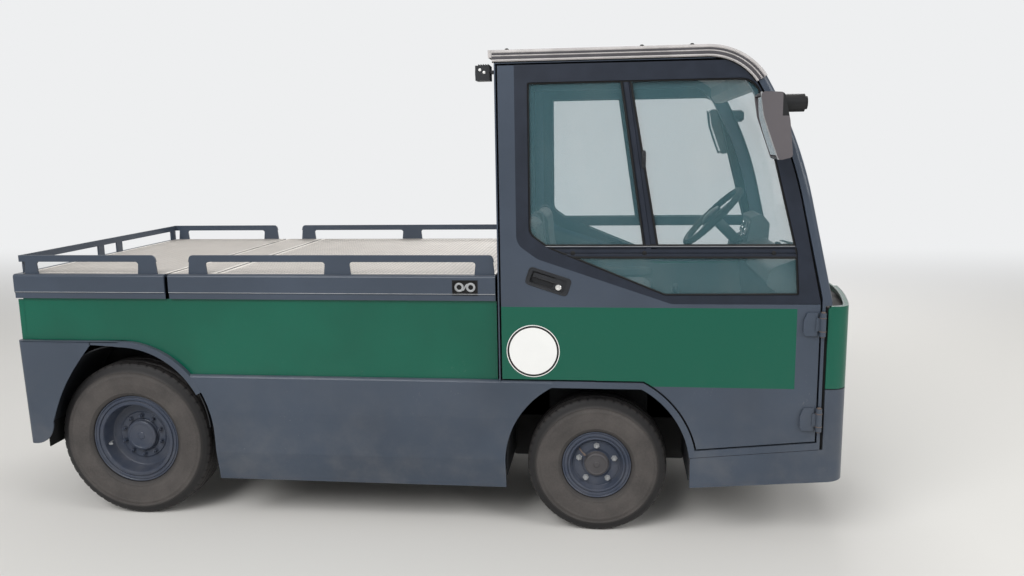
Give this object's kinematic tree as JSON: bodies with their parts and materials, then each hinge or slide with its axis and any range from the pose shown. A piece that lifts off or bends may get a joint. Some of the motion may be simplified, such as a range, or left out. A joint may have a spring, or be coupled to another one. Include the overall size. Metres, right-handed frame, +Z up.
{
  "type": "airport baggage tow tractor with load deck",
  "caption": "Electric airport tow tractor with a closed cab, a battery under a lifting load deck with low rails, and couplings front and rear",
  "frame": {"origin": "on the ground below the middle of the bounding box", "axes": "+X forward, the driving direction; +Y to the driver's left; +Z up"},
  "size_m": [3.372, 1.696, 1.845],
  "materials": {
    "slate_paint": "semi-gloss blue-grey paint",
    "green_paint": "semi-gloss green paint",
    "black_steel": "satin black paint",
    "bare_steel": "plain machined steel, lightly oiled",
    "deck_plate": "raised chequer pattern, dusty",
    "roof_shell": "matt pale grey shell",
    "black_plastic": "fine grain",
    "grey_plastic": "fine grain",
    "battery_case": "plain",
    "tyre_rubber": "dusty",
    "tinted_glass": "clear with a green tint",
    "lamp_clear": "clear lens",
    "lamp_red": "red lens",
    "seat_cover": "dark woven cover"
  },
  "bodies": {
    "tug": {"chassis_frame": "black_steel", "battery": "battery_case", "drive_motor": "black_steel", "rear_axle": "black_steel", "front_axle": "black_steel", "mid_skirt_right": "slate_paint", "mid_skirt_left": "slate_paint", "rear_fender_right": "slate_paint", "rear_fender_left": "slate_paint", "wheelhouses": "black_plastic", "side_panel_right": "green_paint", "side_panel_left": "green_paint", "rear_deck": "slate_paint", "rear_deck_plate": "deck_plate", "rear_rails": "slate_paint", "cab_frame_right": "slate_paint", "cab_frame_left": "slate_paint", "cab_floor": "black_steel", "cab_rear_wall": "slate_paint", "rear_window": "tinted_glass", "roof": "roof_shell", "windscreen": "tinted_glass", "cowl": "black_plastic", "nose_panel": "green_paint", "front_bumper": "slate_paint", "headlamps": "lamp_clear", "tail_lamps": "lamp_red", "work_lamps": "black_plastic", "seats": "seat_cover", "dashboard": "grey_plastic", "rear_coupling": "black_steel", "front_coupling": "black_steel"},
    "battery_cover": {"battery_cover": "slate_paint", "cover_plate": "deck_plate", "cover_rails": "slate_paint", "cover_latches": "black_plastic"},
    "door_right": {"door_right": "slate_paint", "door_window_frame_right": "black_plastic", "door_glass_right": "tinted_glass", "door_handles_right": "black_plastic", "mirror_right": "black_plastic"},
    "door_left": {"door_left": "slate_paint", "door_window_frame_left": "black_plastic", "door_glass_left": "tinted_glass", "door_handles_left": "black_plastic", "mirror_left": "black_plastic"},
    "knuckle_right": {"knuckle_right": "bare_steel"},
    "knuckle_left": {"knuckle_left": "bare_steel"},
    "tie_rod": {"tie_rod": "bare_steel"},
    "front_wheel_right": {"front_tyre_right": "tyre_rubber", "front_rim_right": "slate_paint"},
    "front_wheel_left": {"front_tyre_left": "tyre_rubber", "front_rim_left": "slate_paint"},
    "rear_wheel_right": {"rear_tyre_right": "tyre_rubber", "rear_rim_right": "slate_paint"},
    "rear_wheel_left": {"rear_tyre_left": "tyre_rubber", "rear_rim_left": "slate_paint"},
    "steering_wheel": {"steering_wheel": "black_plastic"}
  },
  "joints": [
    {"name": "battery_cover_lift", "type": "hinge", "parent": "tug", "child": "battery_cover", "pos_m": [-0.966, 0, 1.015], "axis": [0, -1, 0], "range_deg": [0, 60]},
    {"name": "door_right_open", "type": "hinge", "parent": "tug", "child": "door_right", "pos_m": [1.517, -0.662, 0.85], "axis": [0, 0, 1], "range_deg": [0, 80]},
    {"name": "door_left_open", "type": "hinge", "parent": "tug", "child": "door_left", "pos_m": [1.517, 0.662, 0.85], "axis": [0, 0, -1], "range_deg": [0, 80]},
    {"name": "steer_right", "type": "hinge", "parent": "tug", "child": "knuckle_right", "pos_m": [0.71, -0.41, 0.27], "axis": [0, 0, 1], "range_deg": [-38, 38]},
    {"name": "steer_left", "type": "hinge", "parent": "tug", "child": "knuckle_left", "pos_m": [0.71, 0.41, 0.27], "axis": [0, 0, 1], "range_deg": [-38, 38]},
    {"name": "tie_rod_pivot", "type": "hinge", "parent": "knuckle_right", "child": "tie_rod", "pos_m": [0.56, -0.41, 0.212], "axis": [0, 0, 1], "range_deg": [-38, 38]},
    {"name": "front_wheel_right_spin", "type": "hinge", "parent": "knuckle_right", "child": "front_wheel_right", "pos_m": [0.71, -0.5225, 0.27], "axis": [0, 1, 0], "continuous": true},
    {"name": "front_wheel_left_spin", "type": "hinge", "parent": "knuckle_left", "child": "front_wheel_left", "pos_m": [0.71, 0.5225, 0.27], "axis": [0, 1, 0], "continuous": true},
    {"name": "rear_wheel_right_spin", "type": "hinge", "parent": "tug", "child": "rear_wheel_right", "pos_m": [-1.186, -0.508, 0.325], "axis": [0, 1, 0], "continuous": true},
    {"name": "rear_wheel_left_spin", "type": "hinge", "parent": "tug", "child": "rear_wheel_left", "pos_m": [-1.186, 0.508, 0.325], "axis": [0, 1, 0], "continuous": true},
    {"name": "steering_wheel_turn", "type": "hinge", "parent": "tug", "child": "steering_wheel", "pos_m": [1.227, 0.285, 1.16], "axis": [-0.7071, 0, 0.7071], "continuous": true}
  ],
  "couplings": [
    {"joint": "steer_left", "follows": "steer_right", "ratio": 1},
    {"joint": "tie_rod_pivot", "follows": "steer_right", "ratio": -1}
  ]
}
